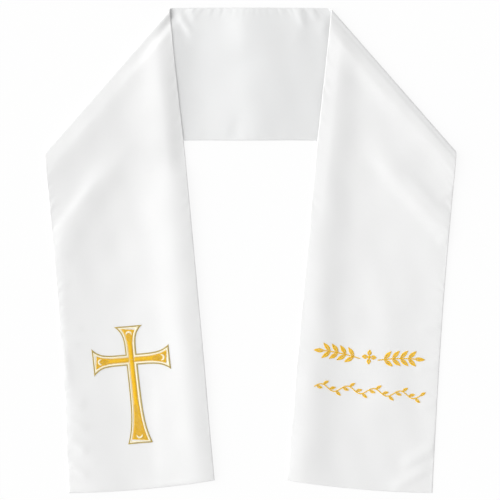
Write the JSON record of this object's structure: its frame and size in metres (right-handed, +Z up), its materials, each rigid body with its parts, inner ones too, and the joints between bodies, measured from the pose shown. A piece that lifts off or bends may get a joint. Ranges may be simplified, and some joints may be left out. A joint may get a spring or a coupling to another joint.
{
  "type": "baptism stole",
  "caption": "White satin baptism stole for an infant, laid flat, folded over at both shoulders into two fronts: a gold embroidered cross on one, gold leaf sprigs and a vine on the other.",
  "frame": {"origin": "on the surface the stole lies on, under the middle of its outline", "axes": "+Z up from the surface, +Y from the hems towards the neck stretch, +X towards the front with the leaf sprigs"},
  "size_m": [0.4096, 0.4857, 0.0113],
  "materials": {
    "satin": "soft sheen",
    "gold_thread": "silky embroidery thread",
    "pale_gold_thread": "silky embroidery thread"
  },
  "bodies": {
    "root": {"neck_band": "satin", "left_front": "satin", "right_front": "satin", "cross_border": "pale_gold_thread", "cross_field": "gold_thread", "sprig_left": "gold_thread", "sprig_right": "gold_thread", "rosette": "gold_thread", "vine": "gold_thread"}
  },
  "joints": []
}
